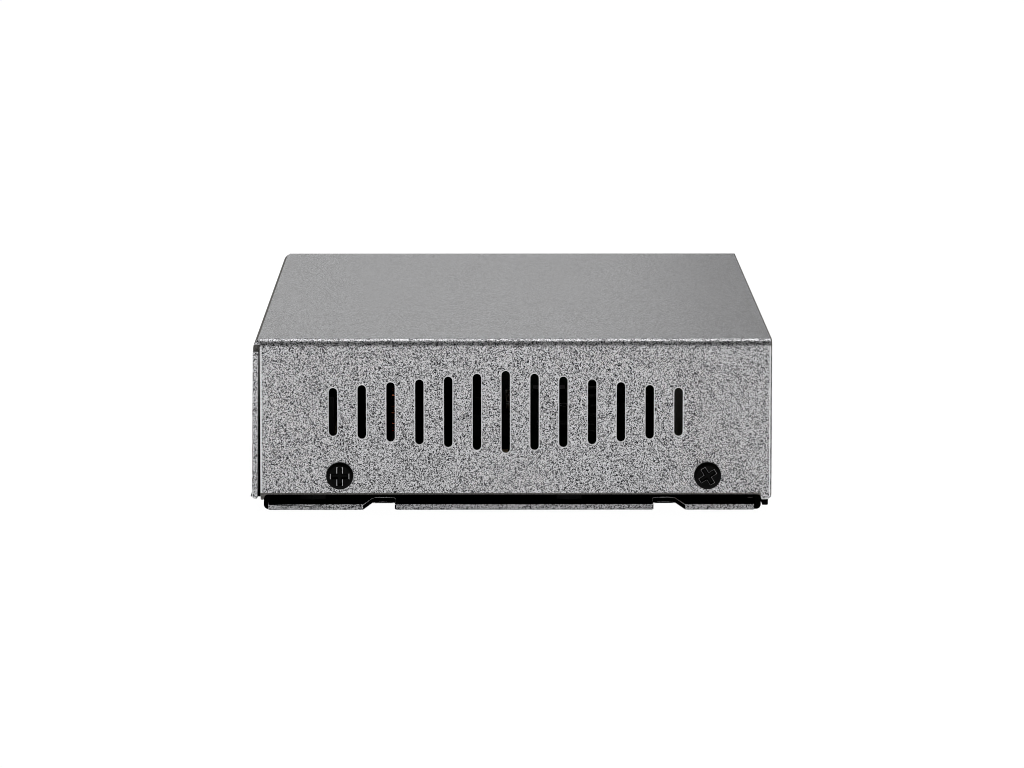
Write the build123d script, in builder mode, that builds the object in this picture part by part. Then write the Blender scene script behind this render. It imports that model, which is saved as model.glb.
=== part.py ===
from build123d import *
from math import radians, tan
import os

os.makedirs("parts", exist_ok=True)

# Small desktop power over ethernet switch: two folded steel sheets round one circuit board.
# Millimetres. X runs along the case, the sockets face -Y, Z is up, and the case rests on Z = 0.

# Case, measured over the folded sheets
case_length = 170.0
case_depth = 102.7
case_height = 34.1
cover_sheet = 1.1
cover_bend = 0.9
base_sheet = 1.2
base_bend = 0.2
base_corner = 0.9

# Cover
rear_lean = 0.7
rear_bottom = 2.2
rear_shoulder = 2.5
rear_foot = 0.7
wall_gap = 0.27
wall_bottom = 2.05
wall_corner = 1.1
wall_heel = 0.25
recess_height = 1.0
recess_front = 2.05
recess_rear = 0.7
recess_corner = 0.8
slot_count = 13
slot_pitch = 5.7
slot_width = 1.6
slot_longest = 16.25
slot_step = 1.126
slot_height = 19.6
slot_shift = 1.35

# Base tray
panel_setback = 0.63
panel_top_gap = 0.3
fold_gap = 0.22
side_gap = 0.1
relief_width = 9.7
relief_height = 3.5
relief_slit = 0.8
wing_bottom = 0.8
lip_setback = 0.6
tab_height = 8.0
ear_height = 11.0
ear_corner = 1.5
front_ear = 17.3
rear_ear = 19.5
notch_width = 6.15
notch_depth = 10.0
notch_slant = 10.0
notch_front = 20.3
notch_back = 24.9
notch_end = 1.9
notch_mouth = 0.55
keyhole_entry = 4.0
keyhole_slot = 2.1
keyhole_travel = 7.0
keyhole_spacing = 90.0
keyhole_place = 62.0

# Fasteners
screw_size = 3.0
screw_length = 4.0
screw_head = 5.4
screw_head_height = 1.3
screw_dome = 0.55
recess_span = 3.6
recess_wing = 1.0
recess_depth = 0.9
thread_clearance = 0.01
hole_clearance = 0.2
screw_height = 6.9
screw_front = 12.7
screw_back = 17.1

# Circuit board
board_sheet = 1.6
board_lift = 6.0
board_margin = 0.6
board_front = 4.0
board_rear = 2.1
board_corner = 1.5
pillar_size = 5.0
pillar_neck = 4.2
board_screw_length = 4.5
pillar_inset = 4.4
pillar_gap = 5.9
pillar_back = 7.5

# Sockets and lamps
port_pitch = 13.97
port_side = 0.3
port_height = 13.4
port_depth = 18.0
port_proud = 0.3
shield_sheet = 0.25
shield_gap = 0.03
window_gap = 0.2
socket_width = 11.8
socket_main = 7.0
socket_latch_width = 6.4
socket_latch = 1.6
socket_floor = 1.4
socket_reach = 13.0
contact_count = 8
contact_pitch = 1.02
contact_width = 0.45
contact_sheet = 0.3
contact_start = 4.2
contact_drop = 2.2
contact_run = 5.2
block_gap = 2.2
row_margin = 5.0
lamp_size = 3.0
lamp_pitch = 4.3
lamp_rows = (2.6, 7.4)
lamp_holders_count = 5
lamp_gap = 3.0
holder_width = 4.1
holder_height = 9.8
holder_depth = 6.0

# Inlet and power parts
jack_inset = 27.0
jack_width = 9.0
jack_height = 11.0
jack_depth = 14.0
jack_axis = 6.4
jack_bore = 3.15
jack_bore_depth = 9.5
jack_pin_size = 2.1
jack_collar = 8.0
jack_collar_length = 1.0
jack_gap = 0.3
jack_slot_width = 2.6
jack_slot_depth = 1.0
spring_sheet = 0.3
choke_offset = 9.0
choke_back = 24.8
core_outer = 9.0
core_inner = 5.6
core_width = 3.0
wire_size = 0.5
winding_turns = 11
winding_sweep = 165.0
winding_gap = 0.04
choke_seat = 1.6
choke_foot = 2.6
capacitor_size = 12.5
capacitor_height = 20.0
sleeve_sheet = 0.15
capacitor_pitch = 15.0
capacitor_stagger = 18.0
capacitor_offset = 19.0
capacitor_back = 19.0
fuse_size = (3.1, 10.1, 3.1)
fuse_offset = 16.0
fuse_back = 10.5
diode_size = (7.9, 5.9, 2.3)
diode_offset = 6.0
diode_pitch = 7.5
diode_back = 20.0
inductor_size = (9.0, 9.0, 4.5)
inductor_corner = 1.2
inlet_inductor_offset = 13.0
inlet_inductor_place = 11.0
middle_inductor_x = 14.0
middle_inductor_back = 6.5
end_inductor_inset = 28.4
end_inductor_back = 14.5

# Signal parts
transformer_size = (15.2, 7.4, 5.8)
transformer_gap = 8.0
transistor_size = (6.4, 3.5, 1.7)
transistor_gap = 7.8
controller_size = (7.0, 7.0, 0.9)
controller_gap = 8.7
chip_x = 22.0
chip_shift = 1.5
chip_size = 14.0
chip_height = 1.4
pad_sheet = 0.5
sink_size = 26.0
sink_height = 9.0
sink_base = 2.0
sink_fin = 1.2
sink_fins = 7
flash_size = (5.2, 4.9, 1.6)
flash_offset = (22.0, -4.3)
crystal_size = (11.4, 4.6, 3.4)
crystal_corner = 2.2
crystal_offset = (24.0, 3.7)
ceramic_size = (2.0, 1.25, 1.2)
ceramic_pitch = 4.0
edge_ceramic_pitch = 3.2
ceramic_gap = 3.1
core_ceramics = 7
edge_ceramics = 8
inlet_ceramics = 4

# Places worked out from the sizes above
half_length = case_length / 2
cover_fold = cover_bend + cover_sheet
base_fold = base_bend + base_sheet
rear_swing = (case_height - cover_fold - rear_bottom) * tan(radians(rear_lean))
case_front = -(case_depth + rear_swing) / 2
rear_face = case_front + case_depth
wall_rear = rear_face - cover_sheet - wall_gap
wall_inside = half_length - cover_sheet
panel_face = case_front + panel_setback
panel_back = panel_face + base_sheet
panel_top = case_height - cover_sheet - panel_top_gap
tab_face = panel_back + fold_gap
lip_face = wall_rear - lip_setback
ear_face = wall_inside - side_gap
board_bottom = base_sheet + board_lift
board_top = board_bottom + board_sheet
board_half = half_length - screw_length - board_margin
board_y = (case_front + board_front, lip_face - board_rear)
block_face = panel_face - port_proud
screw_rows = (case_front + screw_front, rear_face - screw_back)
notch_rows = ((case_front + notch_front, -1), (rear_face - notch_back, 1))
slot_middle = (case_front + rear_face) / 2 + slot_shift
transformer_y = block_face + port_depth + transformer_gap
transistor_y = transformer_y + transistor_gap
controller_y = transistor_y + controller_gap
field_middle = (transistor_y + board_y[1]) / 2
pillar_x = board_half - pillar_inset
pillar_rows = (transistor_y + pillar_gap, board_y[1] - pillar_back)
jack_x = -half_length + jack_inset
jack_front = rear_face - cover_sheet - jack_gap
jack_z = board_top + jack_axis
choke_x = jack_x + choke_offset
choke_y = board_y[1] - choke_back
capacitor_x = choke_x + capacitor_offset
capacitor_y = board_y[1] - capacitor_back
chip_y = field_middle + chip_shift


def block_width(ports):
    """Width of a socket block with its shield, for this many sockets."""
    return ports * port_pitch + 2 * (port_side + shield_sheet + shield_gap)


# The lamps and the three socket blocks stand in one row, centred on the port panel: as many
# powered ports as the panel has room for, in two blocks, and one uplink port
lamp_field = lamp_holders_count * lamp_pitch
row_fixed = lamp_field + lamp_gap + 2 * block_width(0) + block_width(1) + 2 * block_gap
powered_ports = int((case_length - 2 * row_margin - row_fixed) / port_pitch)
block_ports = (powered_ports - powered_ports // 2, powered_ports // 2, 1)
row_width = lamp_field + lamp_gap + sum(block_width(n) for n in block_ports) + 2 * block_gap
lamp_x = [-row_width / 2 + lamp_pitch * (i + 0.5) for i in range(lamp_holders_count)]
block_x = []
block_start = -row_width / 2 + lamp_field + lamp_gap
for ports in block_ports:
    block_x.append(block_start + block_width(ports) / 2)
    block_start += block_width(ports) + block_gap

# Top cover: 1.1 mm sheet, folded down at both ends of the case and at the rear
with BuildPart() as top_cover:
    with BuildSketch(Plane.XZ.offset(-case_front)):
        with BuildLine():
            FilletPolyline(
                (-half_length + cover_sheet / 2, wall_bottom),
                (-half_length + cover_sheet / 2, case_height - cover_sheet / 2),
                (half_length - cover_sheet / 2, case_height - cover_sheet / 2),
                (half_length - cover_sheet / 2, wall_bottom),
                radius=cover_bend + cover_sheet / 2,
            )
        trace(line_width=cover_sheet)
    extrude(amount=case_front - wall_rear)
    wall_ends = top_cover.edges().filter_by(Axis.X).group_by(Axis.Z)[0].group_by(Axis.Y)
    fillet(wall_ends[0], radius=wall_corner)
    wall_ends = top_cover.edges().filter_by(Axis.X).group_by(Axis.Z)[0].group_by(Axis.Y)
    fillet(wall_ends[-1], radius=wall_heel)

    # Vent slots, longest in the middle, screw holes and the shallow recess under each wall
    with BuildSketch(Plane.YZ):
        for step in range(-(slot_count // 2), slot_count // 2 + 1):
            with Locations((slot_middle + step * slot_pitch, slot_height)):
                SlotOverall(slot_longest - abs(step) * slot_step, slot_width, rotation=90)
        with Locations(*[(y, screw_height) for y in screw_rows]):
            Circle(screw_size / 2 + hole_clearance)
        with BuildLine():
            FilletPolyline(
                (case_front + recess_front, 0),
                (case_front + recess_front, wall_bottom + recess_height),
                (wall_rear - recess_rear, wall_bottom + recess_height),
                (wall_rear - recess_rear, 0),
                radius=recess_corner,
            )
            Line((wall_rear - recess_rear, 0), (case_front + recess_front, 0))
        make_face()
    extrude(amount=half_length, both=True, mode=Mode.SUBTRACT)

    # Rear fold: the flat top stops short and a narrower bend turns down into the rear panel
    fold_start = rear_face - cover_fold - cover_sheet / 2
    with BuildSketch(Plane.XY.offset(case_height - cover_fold)):
        with Locations((0, fold_start)):
            Rectangle(case_length - 2 * cover_fold, cover_fold * 2, align=(Align.CENTER, Align.MIN))
    extrude(amount=cover_fold, mode=Mode.SUBTRACT)
    panel_mid = rear_face - cover_sheet / 2
    panel_low = panel_mid + rear_swing
    fold_corner = panel_mid - (cover_fold - cover_sheet / 2) * tan(radians(rear_lean))
    with BuildSketch(Plane.YZ.offset(-half_length + cover_fold)):
        with BuildLine():
            FilletPolyline(
                (fold_start, case_height - cover_sheet / 2),
                (fold_corner, case_height - cover_sheet / 2),
                (panel_low, rear_bottom),
                radius=cover_bend + cover_sheet / 2,
            )
        trace(line_width=cover_sheet)
    extrude(amount=case_length - 2 * cover_fold)

    # Below the shoulders the rear panel is as wide as the case
    shoulder_z = case_height - rear_shoulder
    shoulder_y = panel_mid + (rear_shoulder - cover_fold) * tan(radians(rear_lean))
    with BuildSketch(Plane.YZ.offset(-half_length)):
        with BuildLine():
            Line((shoulder_y, shoulder_z), (panel_low, rear_bottom))
        trace(line_width=cover_sheet)
    extrude(amount=case_length)
    rear_feet = top_cover.edges().filter_by(Axis.X).group_by(Axis.Y)[-1].sort_by(Axis.Z)[0]
    fillet(rear_feet, radius=rear_foot)

    # Round hole for the inlet
    with BuildSketch(Plane.XZ.offset(-wall_rear)):
        with Locations((jack_x, jack_z)):
            Circle(jack_collar / 2 + hole_clearance)
    extrude(amount=-2 * cover_fold, mode=Mode.SUBTRACT)
top_cover.part.label = "top_cover"

# Base tray: 1.2 mm sheet with folded ends; its four corner tabs carry ears for the cover screws
with BuildPart() as base_tray:
    tab_start = half_length - relief_width + relief_slit
    plate_front = tab_face + base_fold
    with BuildSketch(Plane.YZ.offset(-half_length)) as tray_section:
        with BuildLine():
            Polyline(
                (tab_face + base_sheet / 2, tab_height),
                (tab_face + base_sheet / 2, base_sheet / 2),
                (lip_face - base_sheet / 2, base_sheet / 2),
                (lip_face - base_sheet / 2, ear_height),
            )
        trace(line_width=base_sheet)
        fillet(tray_section.vertices().group_by(Axis.Y)[0], radius=base_corner)
        fillet(tray_section.vertices().filter_by_position(Axis.Y, base_sheet, base_sheet), radius=base_bend)
    extrude(amount=case_length)

    # At both folds the sheet's side edges are set back behind the cover's walls
    with BuildSketch(Plane.XY):
        for side in (-1, 1):
            with Locations((side * half_length, tab_face)):
                Rectangle(2 * (half_length - ear_face), 2 * base_fold)
            with Locations((side * half_length, lip_face)):
                Rectangle(2 * (half_length - ear_face), 2 * base_corner)
    extrude(amount=base_fold, mode=Mode.SUBTRACT)

    # The upright parts are cut clear of the cover's walls, and clear of the port panel in front
    with BuildSketch(Plane.XZ.offset(-case_front)):
        for side in (-1, 1):
            with Locations((side * half_length, base_fold)):
                Rectangle(2 * (half_length - ear_face), case_height, align=(Align.CENTER, Align.MIN))
            with Locations((side * half_length, relief_height)):
                Rectangle(
                    2 * (half_length - ear_face + base_fold), case_height, align=(Align.CENTER, Align.MIN)
                )
    extrude(amount=case_front - wall_rear, mode=Mode.SUBTRACT)
    with BuildSketch(Plane.XY):
        with Locations((0, case_front)):
            Rectangle(
                2 * tab_start, plate_front + relief_slit - case_front, align=(Align.CENTER, Align.MIN)
            )
    extrude(amount=case_height, mode=Mode.SUBTRACT)

    # Port panel, folded up between the corner reliefs and full width above them
    with BuildSketch(Plane.YZ.offset(-half_length + relief_width)):
        with BuildLine():
            FilletPolyline(
                (panel_face + base_sheet / 2, panel_top),
                (panel_face + base_sheet / 2, base_sheet / 2),
                (plate_front + relief_slit, base_sheet / 2),
                radius=base_bend + base_sheet / 2,
            )
        trace(line_width=base_sheet)
    extrude(amount=case_length - 2 * relief_width)
    with BuildSketch(Plane.XZ.offset(-panel_face)) as panel_outline:
        with Locations((0, relief_height)):
            Rectangle(2 * ear_face, panel_top - relief_height, align=(Align.CENTER, Align.MIN))
        for side in (-1, 1):
            with Locations((side * (ear_face + tab_start) / 2, wing_bottom)):
                Rectangle(ear_face - tab_start, relief_height, align=(Align.CENTER, Align.MIN))
        fillet(panel_outline.vertices().group_by(Axis.Y)[-1], radius=cover_bend + side_gap)
    extrude(amount=-base_sheet)

    # Ears: the corner tabs and the rear lip turn back along the walls
    ear_mid = ear_face - base_sheet / 2
    ear_ends = (
        (tab_face + base_sheet / 2, case_front + front_ear, tab_height),
        (lip_face - base_sheet / 2, lip_face - rear_ear, ear_height),
    )
    for root_y, tip_y, root_height in ear_ends:
        for side in (-1, 1):
            with BuildSketch(Plane.XY.offset(relief_height)):
                with BuildLine():
                    FilletPolyline(
                        (side * (ear_face - base_fold - base_bend), root_y),
                        (side * ear_mid, root_y),
                        (side * ear_mid, tip_y),
                        radius=base_bend + base_sheet / 2,
                    )
                trace(line_width=base_sheet)
            extrude(amount=root_height - relief_height)
    front_ear_root = tab_face + base_fold
    if ear_height > tab_height:
        for side in (-1, 1):
            with BuildSketch(Plane.YZ.offset(side * ear_mid - base_sheet / 2)):
                with Locations((front_ear_root, tab_height)):
                    Rectangle(
                        case_front + front_ear - front_ear_root,
                        ear_height - tab_height,
                        align=(Align.MIN, Align.MIN),
                    )
            extrude(amount=base_sheet)
    ear_tips = (
        base_tray.edges().filter_by(Axis.X).filter_by(lambda e: abs(e.length - base_sheet) < 0.01)
    )
    tip_rows = [case_front + front_ear, lip_face - rear_ear]
    round_tips = [
        e
        for e in ear_tips
        if min(abs(e.center().Y - y) for y in tip_rows) < 0.01 and e.center().Z > base_sheet
    ]
    fillet(round_tips, radius=ear_corner)
    with BuildSketch(Plane.YZ):
        with Locations(*[(y, screw_height) for y in screw_rows]):
            Circle(screw_size / 2 + thread_clearance)
    extrude(amount=half_length, both=True, mode=Mode.SUBTRACT)

    # Four U-shaped notches in the side edges; the side towards the nearer corner is slanted
    narrowing = notch_depth * tan(radians(notch_slant))
    with BuildSketch(Plane.XY) as notches:
        for side in (-1, 1):
            for centre, outward in notch_rows:
                slanted = centre + outward * notch_width / 2
                straight = centre - outward * notch_width / 2
                inner = side * (half_length - notch_depth)
                with BuildLine():
                    FilletPolyline(
                        (side * half_length, slanted),
                        (inner, slanted - outward * narrowing),
                        (inner, straight),
                        (side * half_length, straight),
                        radius=notch_end,
                    )
                    Line((side * half_length, straight), (side * half_length, slanted))
                make_face()
    extrude(amount=base_sheet, mode=Mode.SUBTRACT)
    mouth_rows = [
        centre + end * notch_width / 2 for centre, outward in notch_rows for end in (-1, 1)
    ]
    side_edges = base_tray.edges().filter_by(Axis.Z).group_by(Axis.X)
    mouth_edges = [
        e
        for e in side_edges[0] + side_edges[-1]
        if min(abs(e.center().Y - y) for y in mouth_rows) < 0.01
    ]
    fillet(mouth_edges, radius=notch_mouth)

    # Keyholes for hanging the case on two screws, and holes for the pressed-in pillars
    with BuildSketch(Plane.XY):
        for x in (-keyhole_spacing / 2, keyhole_spacing / 2):
            with Locations((x, case_front + keyhole_place)):
                Circle(keyhole_entry)
            with Locations((x, case_front + keyhole_place + keyhole_travel / 2)):
                SlotOverall(keyhole_travel + 2 * keyhole_slot, 2 * keyhole_slot, rotation=90)
        for y in pillar_rows:
            with Locations((-pillar_x, y), (0, y), (pillar_x, y)):
                Circle(pillar_neck / 2)
    extrude(amount=base_sheet, mode=Mode.SUBTRACT)

    # Windows for the socket blocks and holes for the lamps
    with BuildSketch(Plane.XZ.offset(-panel_face)):
        for ports, x in zip(block_ports, block_x):
            with Locations((x, board_top - window_gap)):
                Rectangle(
                    block_width(ports) + 2 * window_gap,
                    port_height + shield_sheet + shield_gap + 2 * window_gap,
                    align=(Align.CENTER, Align.MIN),
                )
        for x in lamp_x:
            with Locations(*[(x, board_top + row) for row in lamp_rows]):
                Circle(lamp_size / 2 + hole_clearance)
    extrude(amount=-base_sheet, mode=Mode.SUBTRACT)

    # Cut-out in the rear lip, round the inlet
    with BuildSketch(Plane.XZ.offset(-lip_face)):
        with Locations((jack_x, board_bottom)):
            Rectangle(jack_width + 4 * window_gap, case_height, align=(Align.CENTER, Align.MIN))
    extrude(amount=base_fold, mode=Mode.SUBTRACT)
base_tray.part.label = "base_tray"


def screw_form(length, dome=0):
    """Low-headed machine screw on +Z with its head's underside at Z = 0 and a cross recess."""
    with BuildPart() as screw:
        with BuildSketch():
            Circle(screw_head / 2)
        extrude(amount=screw_head_height)
        if dome:
            chamfer(screw.edges().group_by(Axis.Z)[-1], length=dome)
        with BuildSketch():
            Circle(screw_size / 2)
        extrude(amount=-length)
        with BuildSketch(Plane.XY.offset(screw_head_height)):
            Rectangle(recess_span, recess_wing)
            Rectangle(recess_wing, recess_span)
        extrude(amount=-recess_depth, taper=12, mode=Mode.SUBTRACT)
    return screw.part


# Cover screws: two through each side wall into the tray's ears
cover_screw = screw_form(screw_length, screw_dome)
with BuildPart() as cover_screws:
    for side in (-1, 1):
        for y, turn in zip(screw_rows, (32, 0)):
            seat = Plane(origin=(side * half_length, y, screw_height), x_dir=(0, 1, 0), z_dir=(side, 0, 0))
            with Locations(seat * Location((0, 0, 0), (0, 0, turn))):
                add(cover_screw)
cover_screws.part.label = "cover_screws"

pillar_places = [(x, y) for y in pillar_rows for x in (-pillar_x, 0, pillar_x)]

# Board pillars: steel, pressed into the bottom sheet from inside and tapped for the board screws
with BuildPart() as board_standoffs:
    with BuildSketch(Plane.XY):
        with Locations(*pillar_places):
            Circle(pillar_neck / 2)
    extrude(amount=base_sheet)
    with BuildSketch(Plane.XY.offset(base_sheet)):
        with Locations(*pillar_places):
            RegularPolygon(pillar_size / 2, 6, major_radius=False)
    extrude(amount=board_lift)
    with BuildSketch(Plane.XY.offset(board_bottom)):
        with Locations(*pillar_places):
            Circle(screw_size / 2 + thread_clearance)
    extrude(amount=-board_screw_length, mode=Mode.SUBTRACT)
board_standoffs.part.label = "board_standoffs"

# Board screws, head down on the board
board_screw = screw_form(board_screw_length)
with BuildPart() as board_screws:
    with Locations(*[(x, y, board_top) for x, y in pillar_places]):
        add(board_screw)
board_screws.part.label = "board_screws"

# Circuit board: 1.6 mm laminate that stops short of the cover screws' tips
with BuildPart() as circuit_board:
    with BuildSketch(Plane.XY.offset(board_bottom)):
        with Locations((0, (board_y[0] + board_y[1]) / 2)):
            RectangleRounded(2 * board_half, board_y[1] - board_y[0], board_corner)
        with Locations(*pillar_places):
            Circle(screw_size / 2 + hole_clearance, mode=Mode.SUBTRACT)
    extrude(amount=board_sheet)
circuit_board.part.label = "circuit_board"


def port_columns(ports):
    """Centres of a block's sockets along X, from the block's own middle."""
    return [(i - (ports - 1) / 2) * port_pitch for i in range(ports)]


socket_low = board_top + socket_floor
socket_deck = socket_low + socket_latch
socket_ceiling = socket_deck + socket_main
block_names = ("left", "right", "uplink")


def socket_block(ports, x):
    """Moulded block: one keyed socket for each plug, with a step for the plug's latch."""
    with BuildPart() as block:
        with BuildSketch(Plane.XZ.offset(-block_face - shield_sheet - shield_gap)):
            with Locations((x, board_top)):
                Rectangle(
                    ports * port_pitch + 2 * port_side, port_height, align=(Align.CENTER, Align.MIN)
                )
        extrude(amount=-(port_depth - shield_sheet - shield_gap))
        with BuildSketch(Plane.XZ.offset(-block_face - shield_sheet - shield_gap)):
            for column in port_columns(ports):
                with Locations((x + column, socket_deck)):
                    Rectangle(socket_width, socket_main, align=(Align.CENTER, Align.MIN))
                with Locations((x + column, socket_low)):
                    Rectangle(
                        socket_latch_width, socket_latch + socket_main / 2, align=(Align.CENTER, Align.MIN)
                    )
        extrude(amount=-socket_reach, mode=Mode.SUBTRACT)
    return block.part


def socket_shield(ports, x):
    """Folded plated sheet over a block's front, sides, top and back, with a window at each socket."""
    inner_width = ports * port_pitch + 2 * (port_side + shield_gap)
    with BuildPart() as shield:
        with BuildSketch(Plane.XZ.offset(-block_face)):
            with Locations((x, board_top)):
                Rectangle(
                    block_width(ports),
                    port_height + shield_gap + shield_sheet,
                    align=(Align.CENTER, Align.MIN),
                )
        extrude(amount=-(port_depth + shield_gap + shield_sheet))
        with BuildSketch(Plane.XZ.offset(-block_face - shield_sheet)):
            with Locations((x, board_top)):
                Rectangle(inner_width, port_height + shield_gap, align=(Align.CENTER, Align.MIN))
        extrude(amount=-(port_depth - shield_sheet + shield_gap), mode=Mode.SUBTRACT)
        with BuildSketch(Plane.XZ.offset(-block_face)):
            for column in port_columns(ports):
                with Locations((x + column, socket_low)):
                    Rectangle(
                        socket_width + 2 * window_gap,
                        socket_latch + socket_main + window_gap,
                        align=(Align.CENTER, Align.MIN),
                    )
        extrude(amount=-shield_sheet, mode=Mode.SUBTRACT)
    return shield.part


def socket_contacts(ports, x):
    """Spring wires: each lies along the socket's ceiling, then turns back and slopes down inside."""
    start = block_face + shield_sheet + shield_gap + contact_start
    ceiling = socket_ceiling - contact_sheet / 2
    back = block_face + shield_sheet + shield_gap + socket_reach
    with BuildPart() as contacts:
        for column in port_columns(ports):
            for i in range(contact_count):
                wire_x = x + column + (i - (contact_count - 1) / 2) * contact_pitch
                with BuildSketch(Plane.YZ.offset(wire_x - contact_width / 2)):
                    with BuildLine():
                        Polyline(
                            (back, ceiling),
                            (start, ceiling),
                            (start + contact_run, ceiling - contact_drop),
                        )
                    trace(line_width=contact_sheet)
                extrude(amount=contact_width)
    return contacts.part


# Socket blocks, their shields and their contacts: two blocks of four, and one uplink
for name, ports, x in zip(block_names, block_ports, block_x):
    housing = socket_block(ports, x)
    shield = socket_shield(ports, x)
    contacts = socket_contacts(ports, x)
    stem = "uplink_" if name == "uplink" else "port_"
    ending = "" if name == "uplink" else "_" + name
    for piece, kind in ((housing, "housing"), (shield, "shield"), (contacts, "contacts")):
        piece.label = stem + kind + ending
        export_step(piece, "parts/" + piece.label + ".step")

holder_face = panel_back + fold_gap

# Lamp holders: black blocks on the board's front edge, each with two lamp bores
with BuildPart() as lamp_holders:
    for x in lamp_x:
        with BuildSketch(Plane.XZ.offset(-holder_face)):
            with Locations((x, board_top)):
                Rectangle(holder_width, holder_height, align=(Align.CENTER, Align.MIN))
        extrude(amount=-holder_depth)
    with BuildSketch(Plane.XZ.offset(-holder_face)):
        for x in lamp_x:
            with Locations(*[(x, board_top + row) for row in lamp_rows]):
                Circle(lamp_size / 2 + thread_clearance)
    extrude(amount=-holder_depth / 2, mode=Mode.SUBTRACT)
lamp_holders.part.label = "lamp_holders"

# Lamp lenses: short rods, level with the port panel
with BuildPart() as status_lamps:
    lamp_back = holder_face + holder_depth / 2
    for x in lamp_x:
        for row in lamp_rows:
            with BuildSketch(Plane.XZ.offset(-lamp_back)):
                with Locations((x, board_top + row)):
                    Circle(lamp_size / 2)
            extrude(amount=lamp_back - panel_face)
status_lamps.part.label = "status_lamps"

# Round power inlet: body with a collar in the rear panel, centre pin and side spring
jack_back = jack_front - jack_depth
with BuildPart() as power_jack_body:
    with BuildSketch(Plane.XZ.offset(-jack_front)):
        with Locations((jack_x, board_top)):
            Rectangle(jack_width, jack_height, align=(Align.CENTER, Align.MIN))
    extrude(amount=jack_depth)
    with BuildSketch(Plane.XZ.offset(-jack_front)):
        with Locations((jack_x, jack_z)):
            Circle(jack_collar / 2)
    extrude(amount=-jack_collar_length)
    with BuildSketch(Plane.XZ.offset(-jack_front - jack_collar_length)):
        with Locations((jack_x, jack_z)):
            Circle(jack_bore)
    extrude(amount=jack_bore_depth, mode=Mode.SUBTRACT)
    with BuildSketch(Plane.XZ.offset(-jack_front)):
        with Locations((jack_x, jack_z - jack_bore)):
            Rectangle(jack_slot_width, 2 * jack_slot_depth)
    extrude(amount=jack_bore_depth - jack_collar_length, mode=Mode.SUBTRACT)
power_jack_body.part.label = "power_jack_body"

bore_end = jack_front + jack_collar_length - jack_bore_depth
with BuildPart() as power_jack_pin:
    with BuildSketch(Plane.XZ.offset(-bore_end)):
        with Locations((jack_x, jack_z)):
            Circle(jack_pin_size / 2)
    extrude(amount=-(jack_bore_depth - jack_pin_size))
power_jack_pin.part.label = "power_jack_pin"

with BuildPart() as power_jack_spring:
    spring_low = jack_z - jack_bore - jack_slot_depth + spring_sheet / 2
    with BuildSketch(Plane.YZ.offset(jack_x - jack_slot_width / 2 + spring_sheet)):
        with BuildLine():
            Polyline(
                (bore_end, spring_low),
                (bore_end + jack_bore_depth / 2, spring_low + jack_slot_depth),
                (jack_front - spring_sheet, spring_low),
            )
        trace(line_width=spring_sheet)
    extrude(amount=jack_slot_width - 2 * spring_sheet)
power_jack_spring.part.label = "power_jack_spring"

# Ring choke: a ferrite ring on edge, two windings and a moulded foot
turn_outer = core_outer / 2 + winding_gap + wire_size
turn_inner = core_inner / 2 - winding_gap - wire_size
turn_width = core_width + 2 * (winding_gap + wire_size)
choke_z = board_top + choke_seat + turn_outer
ring_plane = Plane(origin=(choke_x, choke_y, choke_z), x_dir=(1, 0, 0), z_dir=(0, 1, 0))
with BuildPart() as choke_core:
    with BuildSketch(ring_plane.offset(-core_width / 2)):
        Circle(core_outer / 2)
        Circle(core_inner / 2, mode=Mode.SUBTRACT)
    extrude(amount=core_width)
choke_core.part.label = "choke_core"

# One turn of wire is a flat ring round the core's section, with its edges bevelled to a round wire
with BuildPart() as wire_turn:
    with BuildSketch(Plane.XZ.offset(-wire_size / 2)):
        with Locations(((turn_outer + turn_inner) / 2, 0)):
            Rectangle(turn_outer - turn_inner, turn_width)
            Rectangle(
                turn_outer - turn_inner - 2 * wire_size, turn_width - 2 * wire_size, mode=Mode.SUBTRACT
            )
    extrude(amount=wire_size)
    chamfer(
        wire_turn.faces().group_by(Axis.Y)[0].edges() + wire_turn.faces().group_by(Axis.Y)[-1].edges(),
        length=wire_size / (2 + 2**0.5),
    )
with BuildPart() as choke_winding:
    turn_step = winding_sweep / winding_turns
    for half in (0, 180):
        for i in range(winding_turns):
            angle = half + (i - (winding_turns - 1) / 2) * turn_step
            with Locations(ring_plane * Location((0, 0, 0), (0, 0, angle))):
                add(wire_turn.part)
choke_winding.part.label = "choke_winding"

with BuildPart() as choke_base:
    cradle = turn_outer + 2 * winding_gap
    with BuildSketch(Plane.XZ.offset(-choke_y - turn_width / 2)):
        with Locations((choke_x, board_top)):
            Rectangle(core_outer, choke_foot, align=(Align.CENTER, Align.MIN))
        with Locations((choke_x, choke_z)):
            Circle(cradle, mode=Mode.SUBTRACT)
    extrude(amount=turn_width)
choke_base.part.label = "choke_base"

# Three smoothing capacitors: aluminium cans in shrunk plastic sleeves
capacitor_places = [
    (capacitor_x, capacitor_y - capacitor_pitch / 2),
    (capacitor_x, capacitor_y + capacitor_pitch / 2),
    (capacitor_x + capacitor_stagger, capacitor_y),
]
with BuildPart() as capacitor_cans:
    with BuildSketch(Plane.XY.offset(board_top)):
        with Locations(*capacitor_places):
            Circle(capacitor_size / 2 - sleeve_sheet)
    extrude(amount=capacitor_height - sleeve_sheet)
capacitor_cans.part.label = "capacitor_cans"
with BuildPart() as capacitor_sleeves:
    with BuildSketch(Plane.XY.offset(board_top)):
        with Locations(*capacitor_places):
            Circle(capacitor_size / 2)
            Circle(capacitor_size / 2 - sleeve_sheet, mode=Mode.SUBTRACT)
    extrude(amount=capacitor_height)
capacitor_sleeves.part.label = "capacitor_sleeves"


def seated_blocks(size, places, corner=0):
    """Moulded blocks of one size standing on the board, with their upright corners rounded."""
    with BuildPart() as blocks:
        with BuildSketch(Plane.XY.offset(board_top)):
            with Locations(*places):
                Rectangle(size[0], size[1])
        extrude(amount=size[2])
        if corner:
            fillet(blocks.edges().filter_by(Axis.Z), radius=corner)
    return blocks.part


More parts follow.
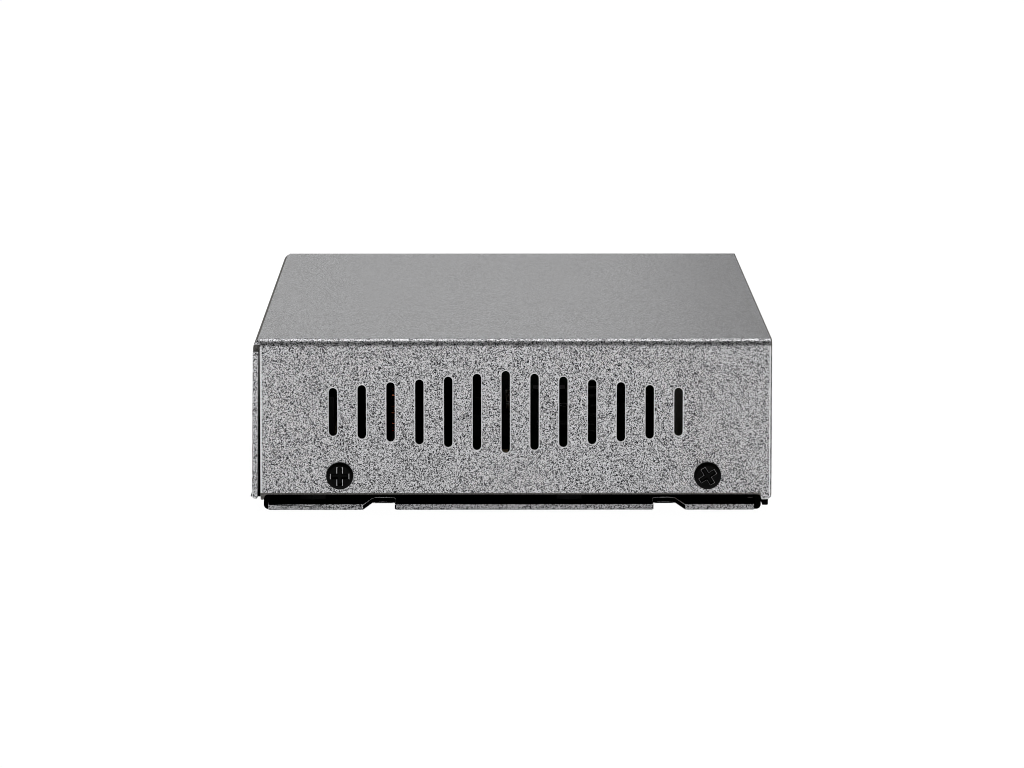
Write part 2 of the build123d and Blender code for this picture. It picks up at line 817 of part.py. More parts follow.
# Parts seated on the board: one transformer behind each pair of ports, one transistor behind each port
transformer_places = []
for ports, x in zip(block_ports, block_x):
    pairs = (ports + 1) // 2
    transformer_places += [(x + (2 * i - pairs + 1) * port_pitch, transformer_y) for i in range(pairs)]
transistor_places = [
    (x + column, transistor_y) for ports, x in zip(block_ports[:2], block_x) for column in port_columns(ports)
]
diode_places = [(jack_x - diode_offset, board_y[1] - diode_back - i * diode_pitch) for i in range(2)]
inductor_places = [
    (choke_x + inlet_inductor_offset, field_middle - inlet_inductor_place),
    (middle_inductor_x, board_y[1] - middle_inductor_back),
    (board_half - end_inductor_inset, board_y[1] - end_inductor_back),
]
flash_place = (chip_x + flash_offset[0], field_middle + flash_offset[1])
crystal_place = (chip_x + crystal_offset[0], field_middle + crystal_offset[1])
ceramic_y = chip_y - sink_size / 2 - ceramic_gap
ceramic_places = (
    [(chip_x + (i - core_ceramics + 2) * ceramic_pitch, ceramic_y) for i in range(core_ceramics)]
    + [(-pillar_x + pillar_gap, pillar_rows[0] + (i + 1) * edge_ceramic_pitch) for i in range(edge_ceramics)]
    + [(jack_x + i * ceramic_pitch, controller_y + controller_size[1]) for i in range(inlet_ceramics)]
)
small_blocks = {
    "input_fuse": seated_blocks(fuse_size, [(jack_x + fuse_offset, board_y[1] - fuse_back)]),
    "power_diodes": seated_blocks(diode_size, diode_places),
    "power_inductors": seated_blocks(inductor_size, inductor_places, inductor_corner),
    "lan_transformers": seated_blocks(transformer_size, transformer_places),
    "port_transistors": seated_blocks(transistor_size, transistor_places),
    "poe_controllers": seated_blocks(controller_size, [(x, controller_y) for x in block_x[:2]]),
    "switch_chip": seated_blocks((chip_size, chip_size, chip_height), [(chip_x, chip_y)]),
    "flash_memory": seated_blocks(flash_size, [flash_place]),
    "crystal_can": seated_blocks(crystal_size, [crystal_place], crystal_corner),
    "chip_capacitors": seated_blocks(ceramic_size, ceramic_places),
}
for name, piece in small_blocks.items():
    piece.label = name
    export_step(piece, "parts/" + name + ".step")

# Heat sink on its soft pad, over the switching chip
pad_z = board_top + chip_height
sink_z = pad_z + pad_sheet
sink_place = (chip_x, chip_y)
with BuildPart() as thermal_pad:
    with BuildSketch(Plane.XY.offset(pad_z)):
        with Locations(sink_place):
            Rectangle(chip_size, chip_size)
    extrude(amount=pad_sheet)
thermal_pad.part.label = "thermal_pad"
with BuildPart() as heat_sink:
    with BuildSketch(Plane.XY.offset(sink_z)):
        with Locations(sink_place):
            Rectangle(sink_size, sink_size)
    extrude(amount=sink_base)
    with BuildSketch(Plane.XY.offset(sink_z + sink_base)):
        with Locations(sink_place):
            with GridLocations((sink_size - sink_fin) / (sink_fins - 1), 0, sink_fins, 1):
                Rectangle(sink_fin, sink_size)
    extrude(amount=sink_height - sink_base)
heat_sink.part.label = "heat_sink"

finished = (
    top_cover,
    base_tray,
    cover_screws,
    board_standoffs,
    board_screws,
    circuit_board,
    lamp_holders,
    status_lamps,
    power_jack_body,
    power_jack_pin,
    power_jack_spring,
    choke_core,
    choke_winding,
    choke_base,
    capacitor_cans,
    capacitor_sleeves,
    thermal_pad,
    heat_sink,
)
for piece in finished:
    export_step(piece.part, "parts/" + piece.part.label + ".step")
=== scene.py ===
import bmesh
import bpy
import numpy as np
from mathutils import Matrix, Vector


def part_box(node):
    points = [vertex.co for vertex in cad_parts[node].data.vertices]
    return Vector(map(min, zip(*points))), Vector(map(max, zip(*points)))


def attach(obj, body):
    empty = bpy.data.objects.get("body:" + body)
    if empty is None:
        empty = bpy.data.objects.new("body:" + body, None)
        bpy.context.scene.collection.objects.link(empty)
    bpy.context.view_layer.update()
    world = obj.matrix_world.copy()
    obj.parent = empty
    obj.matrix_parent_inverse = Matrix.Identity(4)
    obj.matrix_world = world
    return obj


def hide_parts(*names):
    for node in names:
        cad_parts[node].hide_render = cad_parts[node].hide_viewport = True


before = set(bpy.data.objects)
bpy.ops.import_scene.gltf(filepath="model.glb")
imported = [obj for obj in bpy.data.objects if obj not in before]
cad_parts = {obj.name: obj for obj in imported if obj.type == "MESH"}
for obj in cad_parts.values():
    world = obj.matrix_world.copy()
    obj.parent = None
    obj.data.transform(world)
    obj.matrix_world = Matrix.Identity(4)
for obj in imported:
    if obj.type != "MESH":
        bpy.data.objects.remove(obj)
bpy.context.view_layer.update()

# Camera: it looks almost square at the short vented side of the case, from about 7 degrees above
# the desk and a little over a metre away, through a long lens. The narrow pixel filter keeps the
# flecks of the coat crisp.
cover_low, cover_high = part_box("top_cover")
camera_elevation = np.radians(7.127)
camera_turn = np.radians(0.234)
camera_distance = 1.0982
aim_across = -0.00007
aim_height = 0.025176
aim_point = np.array([cover_low.x, aim_across, aim_height])
picture_width = 1024
focal_pixels = 5551.8
sensor_width = 36.0
view_direction = np.array(
    [
        np.cos(camera_elevation) * np.cos(camera_turn),
        -np.cos(camera_elevation) * np.sin(camera_turn),
        -np.sin(camera_elevation),
    ]
)
camera_right = np.cross(view_direction, [0.0, 0.0, 1.0])
camera_right /= np.linalg.norm(camera_right)
camera_up = np.cross(camera_right, view_direction)
camera_frame = np.eye(4)
camera_frame[:3, 0] = camera_right
camera_frame[:3, 1] = camera_up
camera_frame[:3, 2] = -view_direction
camera_frame[:3, 3] = aim_point - view_direction * camera_distance
camera_data = bpy.data.cameras.new("camera")
camera_data.sensor_width = sensor_width
camera_data.lens = sensor_width * focal_pixels / picture_width
camera_data.clip_start = 0.05
camera_data.clip_end = 50.0
camera = bpy.data.objects.new("camera", camera_data)
bpy.context.scene.collection.objects.link(camera)
camera.matrix_world = camera_frame.T.tolist()
bpy.context.scene.camera = camera
bpy.context.scene.view_settings.view_transform = "Standard"
bpy.context.scene.cycles.filter_width = 0.9


# Floor: a plain white sweep of painted board, far larger than the object. Seen directly or mirrored
# in the coat it is nearly white, and only a part of it shades, which keeps the object's soft shadow.
# To all other light it is plain matt paint.
def linear(code):
    """A colour written as sRGB hex, such as "a0a0a0", turned to linear light by the sRGB curve."""
    srgb = np.array([int(code[i : i + 2], 16) / 255 for i in (0, 2, 4)])
    light = np.where(srgb <= 0.04045, srgb / 12.92, ((srgb + 0.055) / 1.055) ** 2.4)
    return (*light.tolist(), 1.0)


def add_node(tree, kind, settings, links):
    """Adds a node. Settings name its properties or sockets, and links name or number its sockets."""
    node = tree.nodes.new(kind)
    for name, value in settings.items():
        if isinstance(name, int) or name in node.inputs:
            node.inputs[name].default_value = value
        else:
            setattr(node, name, value)
    for name, source in links.items():
        tree.links.new(source, node.inputs[name])
    return node


floor_half = 12.0
floor_drop = 0.00005
floor_glow_level = 0.985
floor_shade_share = 0.05
floor_mesh = bpy.data.meshes.new("floor")
floor_corners = np.array([(-1, -1), (1, -1), (1, 1), (-1, 1)]) * floor_half
floor_mesh.from_pydata([(x, y, -floor_drop) for x, y in floor_corners.tolist()], [], [(0, 1, 2, 3)])
floor = bpy.data.objects.new("floor", floor_mesh)
bpy.context.scene.collection.objects.link(floor)
floor_paint = bpy.data.materials.new("white_painted_board")
floor_paint.use_nodes = True
floor_tree = floor_paint.node_tree
floor_tree.nodes.clear()
floor_matte = add_node(floor_tree, "ShaderNodeBsdfDiffuse", {"Color": linear("f4f4f4")}, {})
floor_glow = add_node(floor_tree, "ShaderNodeEmission", {"Strength": floor_glow_level}, {})
floor_shade = add_node(
    floor_tree, "ShaderNodeBsdfDiffuse", {"Color": (floor_shade_share,) * 3 + (1.0,)}, {}
)
floor_seen = add_node(
    floor_tree, "ShaderNodeAddShader", {}, {0: floor_glow.outputs[0], 1: floor_shade.outputs[0]}
)
floor_ray = add_node(floor_tree, "ShaderNodeLightPath", {}, {})
floor_white = add_node(
    floor_tree,
    "ShaderNodeMath",
    {"operation": "MAXIMUM"},
    {0: floor_ray.outputs["Is Camera Ray"], 1: floor_ray.outputs["Is Glossy Ray"]},
)
floor_mix = add_node(
    floor_tree,
    "ShaderNodeMixShader",
    {},
    {0: floor_white.outputs[0], 1: floor_matte.outputs[0], 2: floor_seen.outputs[0]},
)
add_node(floor_tree, "ShaderNodeOutputMaterial", {}, {"Surface": floor_mix.outputs[0]})
floor_mesh.materials.append(floor_paint)

# Shadow card: a small black card of painted shade that lies on the floor under the case, with a shorter
# tongue that reaches a millimetre past the rear panel. It paints the narrow slit between the tray and the
# cover as dark as the real one is in its shade.
card_side = 0.0755
card_edge = 0.0495
tongue_side = 0.066
tongue_edge = 0.0526
card_lift = 0.00002
card_right = [
    (card_side, -card_edge),
    (card_side, card_edge),
    (tongue_side, card_edge),
    (tongue_side, tongue_edge),
]
card_outline = card_right + [(-x, y) for x, y in reversed(card_right)]
card_corners = [(x, y, card_lift - floor_drop) for x, y in card_outline]
card_mesh = bpy.data.meshes.new("shadow_card")
card_mesh.from_pydata(card_corners, [], [tuple(range(len(card_corners)))])
card = bpy.data.objects.new("shadow_card", card_mesh)
bpy.context.scene.collection.objects.link(card)
shade_card_paint = bpy.data.materials.new("painted_shade_card")
shade_card_paint.use_nodes = True
card_tree = shade_card_paint.node_tree
card_tree.nodes.clear()
card_matte = add_node(card_tree, "ShaderNodeBsdfDiffuse", {"Color": linear("050505")}, {})
add_node(card_tree, "ShaderNodeOutputMaterial", {}, {"Surface": card_matte.outputs[0]})
card_mesh.materials.append(shade_card_paint)

# Studio light: a dim room that is darkest above, a low white screen behind the object for the shine on
# its top sheet, a soft box overhead for the fold, and a broad one over the camera for the vented side.
case_middle = (0.0, 0.0, 0.02)
sky_stops = ((0.3, 0.4), (0.6, 0.02))
world = bpy.data.worlds.new("studio")
bpy.context.scene.world = world
world.use_nodes = True
world_tree = world.node_tree
world_tree.nodes.clear()
sky_direction = add_node(world_tree, "ShaderNodeTexCoord", {}, {})
sky_split = add_node(world_tree, "ShaderNodeSeparateXYZ", {}, {0: sky_direction.outputs["Generated"]})
sky_ramp = add_node(world_tree, "ShaderNodeValToRGB", {}, {0: sky_split.outputs["Z"]})
for stop, (height, brightness) in zip(sky_ramp.color_ramp.elements, sky_stops):
    stop.position = height
    stop.color = (brightness, brightness, brightness, 1.0)
sky_light = add_node(
    world_tree, "ShaderNodeBackground", {"Strength": 1.0}, {"Color": sky_ramp.outputs["Color"]}
)
add_node(world_tree, "ShaderNodeOutputWorld", {}, {"Surface": sky_light.outputs[0]})


def soft_box(name, place, width, height, watts):
    """A rectangular lamp at a place, turned so that it shines at the middle of the case."""
    lamp = bpy.data.lights.new(name, "AREA")
    lamp.shape = "RECTANGLE"
    lamp.size = width
    lamp.size_y = height
    lamp.energy = watts
    box = bpy.data.objects.new(name, lamp)
    bpy.context.scene.collection.objects.link(box)
    forward = np.array(case_middle) - np.array(place)
    forward /= np.linalg.norm(forward)
    side = np.cross(forward, [0.0, 0.0, 1.0])
    side /= np.linalg.norm(side)
    turned = np.eye(4)
    turned[:3, 0] = side
    turned[:3, 1] = np.cross(side, forward)
    turned[:3, 2] = -forward
    turned[:3, 3] = place
    box.matrix_world = turned.T.tolist()


soft_box("rear_screen", place=(2.5, 1.0, 0.6), width=2.5, height=1.0, watts=4.7)
soft_box("fold_box", place=(0.76, 0.0, 1.48), width=2.0, height=1.45, watts=23.0)
soft_box("front_box", place=(-1.8, 0.0, 0.5), width=3.2, height=1.4, watts=11.0)


# Top cover: 1.1 mm steel sheet, punched and folded, with a grey metallic powder coat. Its rounded rims
# carry a painted highlight of near-white colour. It slides over the tray and four screws hold it.
def new_finish(name):
    """An empty node material: its node tree, its principled shader and its object coordinates."""
    material = bpy.data.materials.new(name)
    material.use_nodes = True
    tree = material.node_tree
    tree.nodes.clear()
    shader = add_node(tree, "ShaderNodeBsdfPrincipled", {}, {})
    add_node(tree, "ShaderNodeOutputMaterial", {}, {"Surface": shader.outputs["BSDF"]})
    place = add_node(tree, "ShaderNodeTexCoord", {}, {}).outputs["Object"]
    return material, tree, shader, place


def powder_coat(name, dark, light, metallic, gloss, roughness):
    """Metallic powder coat: flat mica flakes, each with its own brightness and tilt, over the slight
    orange peel that the melted powder leaves. The clear resin over the flakes dulls their glint where
    light grazes them. Real flakes are finer than a fifth of a millimetre, and are drawn as coarse as
    they need to be to show."""
    flake_size = 0.00018
    flake_height = 0.00006
    flake_range = (0.15, 0.85)
    flake_tint = 0.6
    peel_size = 0.0011
    peel_height = 0.00004
    material, tree, shader, place = new_finish(name)
    flakes = add_node(tree, "ShaderNodeTexVoronoi", {"Scale": 1 / flake_size}, {"Vector": place})
    flake_value = add_node(tree, "ShaderNodeSeparateColor", {}, {0: flakes.outputs["Color"]})
    flake_ramp = add_node(tree, "ShaderNodeValToRGB", {}, {0: flake_value.outputs[0]})
    for stop, position, colour in zip(flake_ramp.color_ramp.elements, flake_range, (dark, light)):
        stop.position = position
        stop.color = linear(colour)
    tree.links.new(flake_ramp.outputs["Color"], shader.inputs["Base Color"])
    peel = add_node(tree, "ShaderNodeTexNoise", {"Scale": 1 / peel_size, "Detail": 2.0}, {"Vector": place})
    peel_bump = add_node(
        tree, "ShaderNodeBump", {"Strength": 0.1, "Distance": peel_height}, {"Height": peel.outputs["Fac"]}
    )
    flake_bump = add_node(
        tree,
        "ShaderNodeBump",
        {"Strength": 0.5, "Distance": flake_height},
        {"Height": flake_value.outputs[1], "Normal": peel_bump.outputs["Normal"]},
    )
    tree.links.new(flake_bump.outputs["Normal"], shader.inputs["Normal"])
    shader.inputs["Metallic"].default_value = metallic
    shader.inputs["Specular IOR Level"].default_value = gloss
    shader.inputs["Specular Tint"].default_value = (flake_tint, flake_tint, flake_tint, 1.0)
    shader.inputs["Roughness"].default_value = roughness
    return material


# On a flat face the coat is a sparkle of dark and pale flakes.
case_coat = powder_coat(
    "grey_metallic_powder_coat", "262628", "d2d2d4", metallic=0.9, gloss=0.5, roughness=0.3
)
# On the rims the colour is almost white: a painted highlight for the light that the rounded rims catch.
highlight_coat = powder_coat(
    "painted_highlight_on_rims", "e6e6e8", "ffffff", metallic=0.2, gloss=0.5, roughness=0.3
)
# On the cut edges and the sheet's sides the coat is a darker copy; along the cover's front edge this darker
# tone is painted shade of the rounded edge.
darker_edge_coat = powder_coat(
    "darker_coat_and_painted_shade_on_edges", "0a0a0c", "b4b4b6", metallic=0.8, gloss=0.3, roughness=0.35
)
# Inside the case, in its recesses and on set-back ends, the coat is nearly black: painted shade.
inside_shade_coat = powder_coat("painted_shade_inside", "050504", "0b0a09", metallic=0.0, gloss=0.0, roughness=0.8)
# On the outer folds, the foot of the wall, the front line of the top and the ends of the corner reliefs it
# is an even grey without shine: painted shade.
fold_shade_coat = powder_coat(
    "painted_shade_on_outer_folds", "676562", "858380", metallic=0.0, gloss=0.0, roughness=0.8
)
# Of these finishes the rim one is a painted highlight, the inside and fold ones are painted shade, and the
# edge one is darker, and painted shade along the cover's front edge.
case_finishes = (case_coat, highlight_coat, darker_edge_coat, inside_shade_coat, fold_shade_coat)
plain_face, painted_highlight, darker_edge, painted_inside_shade, painted_fold_shade = range(len(case_finishes))
cover_rim = 0.00023
cover_sheet = 0.0011

# Lines across the cover where its finish changes, from the front edge to the rear panel.
# Between the first and the third of these lines a painted highlight runs along the wall's front edge, and in
# front of it the edge is darker, as painted shade.
highlight_start = cover_low.y + 0.0003
front_rim = cover_low.y + 0.0004
highlight_end = cover_low.y + 0.0005
tab_side = cover_low.y + 0.0021
relief_back = cover_high.y - 0.0026
wall_back = cover_high.y - 0.0021
hem_end = cover_high.y - 0.0018
wall_end = cover_high.y - 0.0015
seam_face = cover_high.y - 0.00132
rear_face = cover_high.y - 0.0013
rear_inside = cover_high.y - cover_sheet + 0.00004

# Lines along its length, from the middle outwards.
seam_depth = cover_high.x - 0.006
relief_end = cover_high.x - 0.002
wall_skin = cover_high.x - 0.0004
wall_face = cover_high.x - 0.0001

# Lines up its height, from the floor to the top sheet.
inside_foot = 0.0025
wall_hem = 0.00344
fold_foot = cover_high.z - 0.0024
front_fold = cover_high.z - 0.0022
relief_top = cover_high.z - 0.0013
top_inside = cover_high.z - cover_sheet + 0.00005
fold_top = cover_high.z - 0.0004
top_face = cover_high.z - 0.00005

# How near to its line a face of the seam or of a relief lies, and the least size of the normal along
# y of a face that looks to the front or the rear.
seam_reach = 0.00008
relief_reach = 0.0001
facing_rear = 0.5

# The faces are split along these lines. In the upper rear corners, where the folds meet, the edges
# lie too close together to be rounded.
cover_cuts = (
    (0, seam_depth),
    (0, -seam_depth),
    (1, highlight_start),
    (1, highlight_end),
    (1, wall_back),
    (1, tab_side),
    (2, wall_hem),
    (2, relief_top),
)
corner_reach = np.array([0.0026, 0.0036, 0.0036])
corner_margin = 0.001
cover_corner = np.array(cover_high)
fold_corner = (cover_corner - corner_reach, cover_corner + corner_margin)


def cover_tone(x, y, z, rim, sideways):
    """The finish of a face of the cover, by the first rule that fits. The ends of the corner reliefs get
    painted fold shade and the strips in the seam a painted highlight, and the inside gets painted shade.
    The facets of the rear fold, the foot of the wall and the front line of the top get painted fold shade,
    and the wall's rear edge a painted highlight. The front edge gets the darker edge coat, as painted
    shade of its rounded edge, behind a painted highlight line, and every other rim a painted highlight."""
    if sideways < facing_rear and abs(x - relief_end) < relief_reach and y > relief_back and z < relief_top:
        return painted_fold_shade
    if x > seam_depth and abs(y - seam_face) < seam_reach and z < relief_top:
        return painted_highlight
    if x < wall_skin and inside_foot < z < top_inside and highlight_start < y < rear_inside:
        return painted_inside_shade
    if not rim and y > rear_face and fold_foot < z < fold_top:
        return painted_fold_shade
    if x > wall_skin and z < wall_hem and tab_side < y < hem_end:
        return painted_fold_shade
    if x > wall_face and wall_back < y < wall_end:
        return painted_highlight
    if z > top_face and y < highlight_start:
        return painted_fold_shade
    if rim and y < front_rim:
        return painted_fold_shade if z > front_fold else darker_edge
    if not rim and x > wall_face and y < highlight_end:
        return painted_highlight if y > highlight_start else darker_edge
    return painted_highlight if rim else plain_face


def lies_in(corner, box):
    """Whether a mesh corner lies in a box, given as its least and its greatest |x|, y and z."""
    least, greatest = box
    spot = np.array([abs(corner.co.x), corner.co.y, corner.co.z])
    return np.all((least < spot) & (spot < greatest))


def softened_copy(name, node, rim_width, finishes, tone, crowded=(), cuts=()):
    """A copy of a CAD node with its doubles merged, its flat facets joined and every sharp edge
    rounded by an arc of the rim's width, in metres. Edges with an end in a crowded box stay sharp.
    Each cut, an axis and a value along it, splits the faces that cross it. The tone function gets |x|,
    y and z of a face's middle, whether it is a rounded rim, and the size of its normal along y, and it
    numbers the face's finish."""
    flat_angle = np.radians(0.5)
    sharp_angle = np.radians(30)
    crease_angle = np.radians(40)
    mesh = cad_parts[node].data.copy()
    mesh.name = name
    form = bmesh.new()
    form.from_mesh(mesh)
    bmesh.ops.remove_doubles(form, verts=form.verts, dist=1e-6)
    bmesh.ops.dissolve_limit(form, angle_limit=flat_angle, verts=form.verts, edges=form.edges)
    sharp_edges = [
        edge
        for edge in form.edges
        if len(edge.link_faces) == 2
        and edge.calc_face_angle() > sharp_angle
        and not any(lies_in(corner, box) for corner in edge.verts for box in crowded)
    ]
    for face in form.faces:
        face.material_index = 0
    bmesh.ops.bevel(
        form,
        geom=sharp_edges,
        offset=rim_width,
        offset_type="OFFSET",
        segments=2,
        profile=0.5,
        affect="EDGES",
        clamp_overlap=False,
        material=1,
    )
    for axis, value in cuts:
        parts = form.verts[:] + form.edges[:] + form.faces[:]
        across = np.eye(3)[axis]
        bmesh.ops.bisect_plane(form, geom=parts, dist=1e-7, plane_co=across * value, plane_no=across)
    for face in form.faces:
        face.smooth = True
        middle = face.calc_center_median()
        rim = face.material_index == 1
        face.material_index = tone(abs(middle.x), middle.y, middle.z, rim, abs(face.normal.y))
    for edge in form.edges:
        if len(edge.link_faces) == 2 and edge.calc_face_angle() > crease_angle:
            edge.smooth = False
    mesh.materials.clear()
    for finish in finishes:
        mesh.materials.append(finish)
    form.to_mesh(mesh)
    form.free()
    piece = bpy.data.objects.new(name, mesh)
    bpy.context.scene.collection.objects.link(piece)
    weights = piece.modifiers.new("even_normals", "WEIGHTED_NORMAL")
    weights.keep_sharp = True
    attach(piece, "root")
    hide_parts(node)
    return piece


cover_shell = softened_copy(
    "cover_shell", "top_cover", cover_rim, case_finishes, cover_tone, (fold_corner,), cover_cuts
)

# Base tray: 1.2 mm steel sheet with the same powder coat. The port panel, the corner tabs, the rear
# lip and the ears are folded up from it, and notches and keyholes are punched in its bottom.
tray_low, tray_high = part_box("base_tray")
tray_rim = 0.00018
tray_sheet = 0.0012

# Lines where the tray's finish changes: behind the port panel, up from the floor, and along its
# length at the ears, the notches and the sheet's sides.
panel_inside = tray_low.y + tray_sheet - 0.00005
underside = 0.00001
floor_rim_inside = tray_sheet - 0.0001
floor_inside = tray_sheet - 0.00001
ear_inside = tray_high.x - tray_sheet - 0.0003
ear_outside = tray_high.x - tray_sheet + 0.0001
notch_end = tray_high.x - 0.0102
notch_mouth = tray_high.x - 0.0001
tray_side = tray_high.x - 0.00001

# At the roots of the corner tabs, too, the edges lie too close together to be rounded.
tab_root_height = 0.0035
tab_root_margin = np.array([0.004, 0.0015, 0.0003])
tab_roots = [np.array([tray_high.x, across, tab_root_height]) for across in (0.0484, -0.0487)]
crowded_roots = [(root - tab_root_margin, root + tab_root_margin) for root in tab_roots]


def tray_tone(x, y, z, rim, _):
    """The finish of a face of the tray, by the first rule that fits. Above the bottom sheet, on the
    ears' set-back ends and on the notches' walls it is painted shade, and the notches' rims carry a
    painted highlight. The other rims and the sheet's sides get the darker edge coat."""
    if y > panel_inside and z > (floor_rim_inside if rim else floor_inside):
        return painted_inside_shade
    if ear_inside < x < ear_outside:
        return painted_inside_shade
    if notch_end < x < notch_mouth and underside < z < tray_sheet:
        return painted_highlight if rim else painted_inside_shade
    return darker_edge if rim or x > tray_side else plain_face


tray_shell = softened_copy("tray_shell", "base_tray", tray_rim, case_finishes, tray_tone, crowded_roots)


# Cover screws: M3 steel machine screws with low heads and a cross recess, blackened in a hot salt
# bath. They clamp the cover to the tabs of the tray.
def plain_finish(name, colour, roughness, grain, contrast, relief, metallic=0.0, gloss=0.4):
    """A finish of one colour with a fine mottled grain of a real size in metres, which varies the
    colour and raises the surface by the relief in metres. Most real grains are too fine to show, and
    are drawn as coarse as they need to be."""
    grain_range = (0.3, 0.7)
    material, tree, shader, place = new_finish(name)
    mottle = add_node(tree, "ShaderNodeTexNoise", {"Scale": 1 / grain, "Detail": 3.0}, {"Vector": place})
    shade = add_node(tree, "ShaderNodeValToRGB", {}, {0: mottle.outputs["Fac"]})
    base = np.array(linear(colour)[:3])
    factors = (1 - contrast, 1 + contrast)
    for stop, position, factor in zip(shade.color_ramp.elements, grain_range, factors):
        stop.position = position
        stop.color = (*(base * factor).tolist(), 1.0)
    tree.links.new(shade.outputs["Color"], shader.inputs["Base Color"])
    bump = add_node(
        tree, "ShaderNodeBump", {"Strength": 1.0, "Distance": relief}, {"Height": mottle.outputs["Fac"]}
    )
    tree.links.new(bump.outputs["Normal"], shader.inputs["Normal"])
    shader.inputs["Metallic"].default_value = metallic
    shader.inputs["Roughness"].default_value = roughness
    shader.inputs["Specular IOR Level"].default_value = gloss
    return material


# The salt bath leaves a thin black oxide with hardly any gloss.
blackened_steel = plain_finish(
    "blackened_screw_steel", "040404", roughness=0.4, grain=0.0004, contrast=0.3, relief=0.000004, gloss=0.05
)
# Painted glints: bright steel colour on the upright edges of the recess.
glint_steel = plain_finish(
    "painted_glints_on_recess_edges", "d0d0d2", roughness=0.3, grain=0.0004, contrast=0.2, relief=0.000002, metallic=0.6
)
screw_finishes = (blackened_steel, glint_steel)
black_face, recess_glint = range(len(screw_finishes))
screw_low, screw_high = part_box("cover_screws")
screw_rim = 0.0001
screw_head_radius = 0.0027
screw_height = (screw_low.z + screw_high.z) / 2
recess_reach = 0.00195
recess_mouth = screw_high.x - 0.0004

# The least size of the normal along y of an edge that stands upright in the recess.
facing_along = 0.3


def screw_tone(x, y, z, rim, sideways):
    """Painted glints of bright steel on the upright edges of the recess. A screw's
    axis lies a head's radius inside the end of the node's box."""
    off_axis = min(y - screw_low.y, screw_high.y - y) - screw_head_radius
    in_recess = np.hypot(off_axis, z - screw_height) < recess_reach and x > recess_mouth
    return recess_glint if rim and in_recess and sideways > facing_along else black_face


screw_set = softened_copy("black_cover_screws", "cover_screws", screw_rim, screw_finishes, screw_tone)


# Circuit board: glass-epoxy laminate with a dark green solder mask over copper traces. It lies on
# six steel pillars and is held by six screws, all of them zinc-plated and passivated black.
def dress(node, finish):
    """Gives a CAD node its finish."""
    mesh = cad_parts[node].data
    mesh.materials.clear()
    mesh.materials.append(finish)


# The mask is a matt lacquer, mottled where the traces run under it.
solder_mask = plain_finish(
    "green_solder_mask", "0b2a1a", roughness=0.8, grain=0.003, contrast=0.25, relief=0.00001, gloss=0.02
)
# The black zinc is dark and faintly metallic.
black_zinc = plain_finish(
    "black_passivated_zinc",
    "1b1b1c",
    roughness=0.45,
    grain=0.0006,
    contrast=0.15,
    relief=0.000003,
    metallic=0.5,
)
dress("circuit_board", solder_mask)
dress("board_standoffs", black_zinc)
dress("board_screws", black_zinc)

# Sockets: moulded black blocks of glass-filled nylon, each in a folded shield of nickel-plated
# steel, with eight gold-plated spring wires in every socket.

# The nylon has a dull, slightly grained skin.
black_nylon = plain_finish(
    "moulded_black_nylon", "161616", roughness=0.45, grain=0.0005, contrast=0.15, relief=0.000006
)
# The nickel is a warm grey with a broad, soft shine.
nickel_plate = plain_finish(
    "nickel_plated_sheet", "7d7b75", roughness=0.5, grain=0.002, contrast=0.06, relief=0.000004, metallic=1.0
)
# The gold is yellow and bright.
gold_plate = plain_finish(
    "gold_plated_wire", "d9a84a", roughness=0.25, grain=0.0008, contrast=0.08, relief=0.000002, metallic=1.0
)
for block in ("port_housing_left", "port_housing_right", "uplink_housing"):
    dress(block, black_nylon)
for shield in ("port_shield_left", "port_shield_right", "uplink_shield"):
    dress(shield, nickel_plate)
for contacts in ("port_contacts_left", "port_contacts_right", "uplink_contacts"):
    dress(contacts, gold_plate)

# Lamps: clear moulded lenses, two in each black nylon holder. The holders stand on the board, and the
# lenses are level with the port panel.

# The lenses are smooth and pale, with a slight green.
lens_moulding = plain_finish(
    "clear_lamp_lens", "c9cfc6", roughness=0.18, grain=0.0015, contrast=0.04, relief=0.000002
)
dress("lamp_holders", black_nylon)
dress("status_lamps", lens_moulding)

# Power inlet: a moulded black body with a plated centre pin and a plated side spring pressed into it.
# It stands on the board behind its hole in the rear panel.
dress("power_jack_body", black_nylon)
dress("power_jack_pin", nickel_plate)
dress("power_jack_spring", nickel_plate)

# Inlet protection: a fired ceramic fuse and two diodes moulded in epoxy, soldered to the board next to
# the inlet.

# The ceramic is a matt sand colour.
fired_ceramic = plain_finish(
    "fired_ceramic", "b9a27e", roughness=0.5, grain=0.0006, contrast=0.12, relief=0.000008
)
# The epoxy is black and dull, as the mould leaves it.
chip_epoxy = plain_finish(
    "moulded_chip_epoxy", "101011", roughness=0.6, grain=0.0003, contrast=0.2, relief=0.000006, gloss=0.15
)
dress("input_fuse", fired_ceramic)
dress("power_diodes", chip_epoxy)

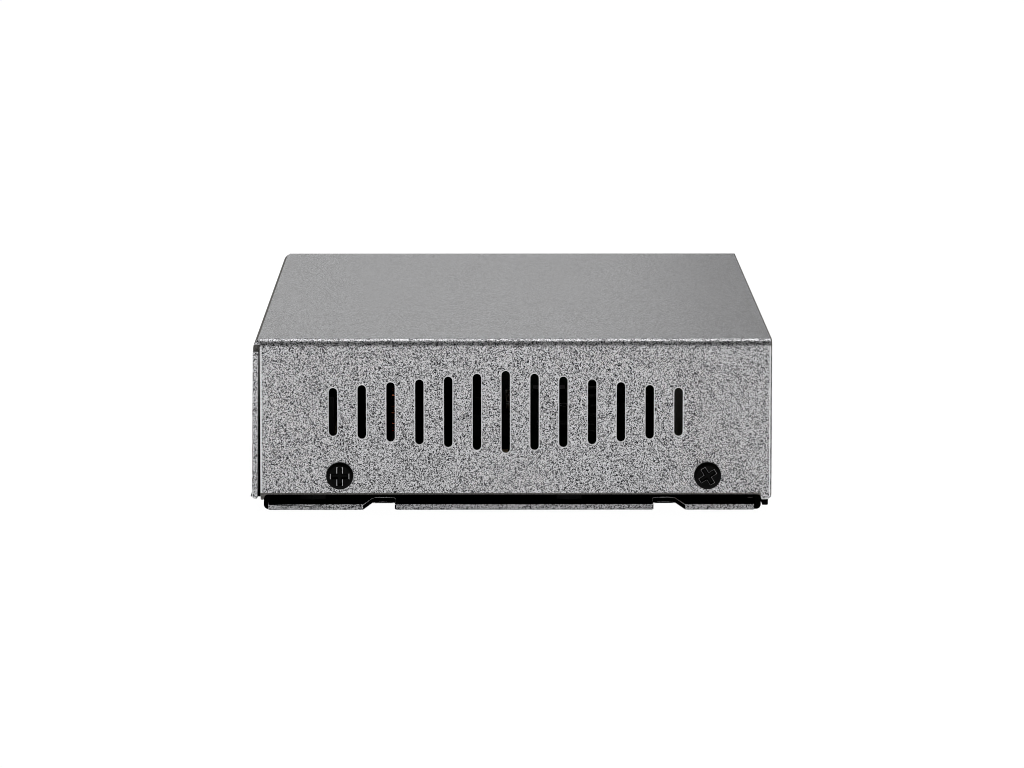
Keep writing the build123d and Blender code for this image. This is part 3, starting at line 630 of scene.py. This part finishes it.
# Ring choke: a coated ferrite ring on edge in a moulded foot, wound with two layers of enamelled
# copper wire, which glows red-brown where light falls through the vents.

# The ring's coat is a dark green paint.
ferrite_coat = plain_finish(
    "coated_ferrite", "1d3a24", roughness=0.4, grain=0.0005, contrast=0.15, relief=0.000008
)
# The clear enamel leaves the copper its shine.
copper_enamel = plain_finish(
    "enamelled_copper_wire",
    "ff9468",
    roughness=0.2,
    grain=0.0006,
    contrast=0.2,
    relief=0.000004,
    metallic=1.0,
)
dress("choke_core", ferrite_coat)
dress("choke_winding", copper_enamel)
dress("choke_base", black_nylon)

# Smoothing capacitors: drawn aluminium cans in sleeves of shrunk black film, soldered upright to the
# board.

# The aluminium is pale and bright.
drawn_aluminium = plain_finish(
    "drawn_aluminium", "cfd0d2", roughness=0.28, grain=0.001, contrast=0.06, relief=0.000003, metallic=1.0
)
# The film is nearly black and gleams a little.
shrunk_film = plain_finish(
    "shrunk_sleeve_film", "08080b", roughness=0.5, grain=0.002, contrast=0.1, relief=0.000006, gloss=0.1
)
dress("capacitor_cans", drawn_aluminium)
dress("capacitor_sleeves", shrunk_film)

# Parts seated on the board: moulded inductors, transformers and chips, the heat sink on its soft pad
# over the switching chip, the crystal's can and small ceramic capacitors.

# The pressed powder is a rough dark grey.
inductor_mix = plain_finish(
    "pressed_iron_powder", "1d1e1f", roughness=0.7, grain=0.0003, contrast=0.25, relief=0.00001, gloss=0.15
)
# The anodised sink is an even dull black.
black_anodise = plain_finish(
    "black_anodised_aluminium",
    "0e0e0f",
    roughness=0.5,
    grain=0.0004,
    contrast=0.15,
    relief=0.000004,
    gloss=0.15,
)
# The pad is a matt blue-grey rubber.
pad_rubber = plain_finish(
    "soft_thermal_pad", "8f9aa6", roughness=0.7, grain=0.0008, contrast=0.1, relief=0.00001
)
dress("power_inductors", inductor_mix)
for moulded in ("lan_transformers", "port_transistors", "poe_controllers", "switch_chip", "flash_memory"):
    dress(moulded, chip_epoxy)
dress("heat_sink", black_anodise)
dress("thermal_pad", pad_rubber)
dress("crystal_can", nickel_plate)
dress("chip_capacitors", fired_ceramic)
